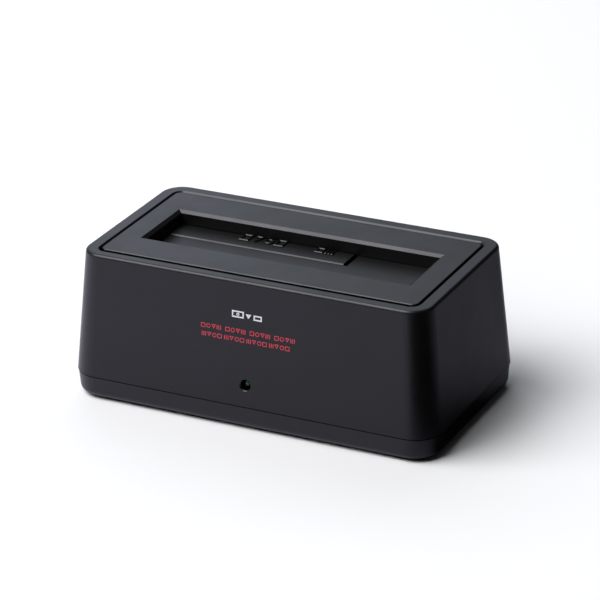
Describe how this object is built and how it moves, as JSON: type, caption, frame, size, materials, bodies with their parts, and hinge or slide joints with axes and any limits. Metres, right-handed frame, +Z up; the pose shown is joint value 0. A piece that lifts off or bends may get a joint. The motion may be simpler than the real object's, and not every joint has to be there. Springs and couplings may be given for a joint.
{
  "type": "hard drive docking station",
  "caption": "Desktop docking station with a top slot closed by two sprung shutters, for bare 3.5-inch and 2.5-inch drives.",
  "frame": {"origin": "middle of the underside, on the surface that the rubber feet stand on", "axes": "+X along the long side to the right as seen from the front, +Y to the back with the sockets, +Z up"},
  "size_m": [0.1424, 0.0792, 0.0555],
  "materials": {
    "casing": "fine satin, moulded",
    "base": "fine satin, moulded",
    "panel": "fine satin, moulded",
    "shutter": "fine satin, moulded",
    "cradle": "plain moulded",
    "steel": "drawn wire",
    "screws": "zinc plated",
    "board": "solder mask",
    "connector": "moulded",
    "gold_contacts": "gold plated",
    "chip": "epoxy",
    "tin": "tin plated",
    "usb_plastic": "moulded",
    "jack": "moulded",
    "switch": "moulded",
    "lens": "tinted, diffused",
    "rubber": "soft"
  },
  "bodies": {
    "dock": {"upper_housing": "casing", "base_cover": "base", "top_panel": "panel", "drive_cradle": "cradle", "large_shutter_pin": "steel", "small_shutter_pin": "steel", "large_shutter_spring": "steel", "small_shutter_spring": "steel", "base_screws": "screws", "board_screws": "screws", "panel_screws": "screws", "cradle_screws": "screws", "main_board": "board", "sata_connector": "connector", "lamp_holder": "connector", "sata_contacts": "gold_contacts", "usb_contacts": "gold_contacts", "bridge_chip": "chip", "power_regulator": "chip", "power_inductor": "chip", "usb_shell": "tin", "crystal": "tin", "capacitors": "tin", "dc_jack_pin": "tin", "lamp_leads": "tin", "usb_insert": "usb_plastic", "dc_jack": "jack", "switch_body": "switch", "indicator_lamp": "lens", "rubber_feet": "rubber"},
    "large_door": {"large_shutter": "shutter"},
    "small_door": {"small_shutter": "shutter"},
    "rocker": {"switch_rocker": "switch"}
  },
  "joints": [
    {"name": "large_shutter_hinge", "type": "hinge", "parent": "dock", "child": "large_door", "pos_m": [0, -0.01595, 0.0478], "axis": [-1, 0, 0], "range_deg": [0, 90], "stiffness_Nm_per_rad": 0.005, "springref_deg": -45.84, "deforming": ["large_shutter_spring"]},
    {"name": "small_shutter_hinge", "type": "hinge", "parent": "dock", "child": "small_door", "pos_m": [0, 0.01515, 0.0482], "axis": [1, 0, 0], "range_deg": [0, 90], "stiffness_Nm_per_rad": 0.003, "springref_deg": -45.84, "deforming": ["small_shutter_spring"]},
    {"name": "switch_rock", "type": "hinge", "parent": "dock", "child": "rocker", "pos_m": [-0.034, 0.03459, 0.01695], "axis": [0, 0, 1], "range_deg": [0, 16]}
  ]
}
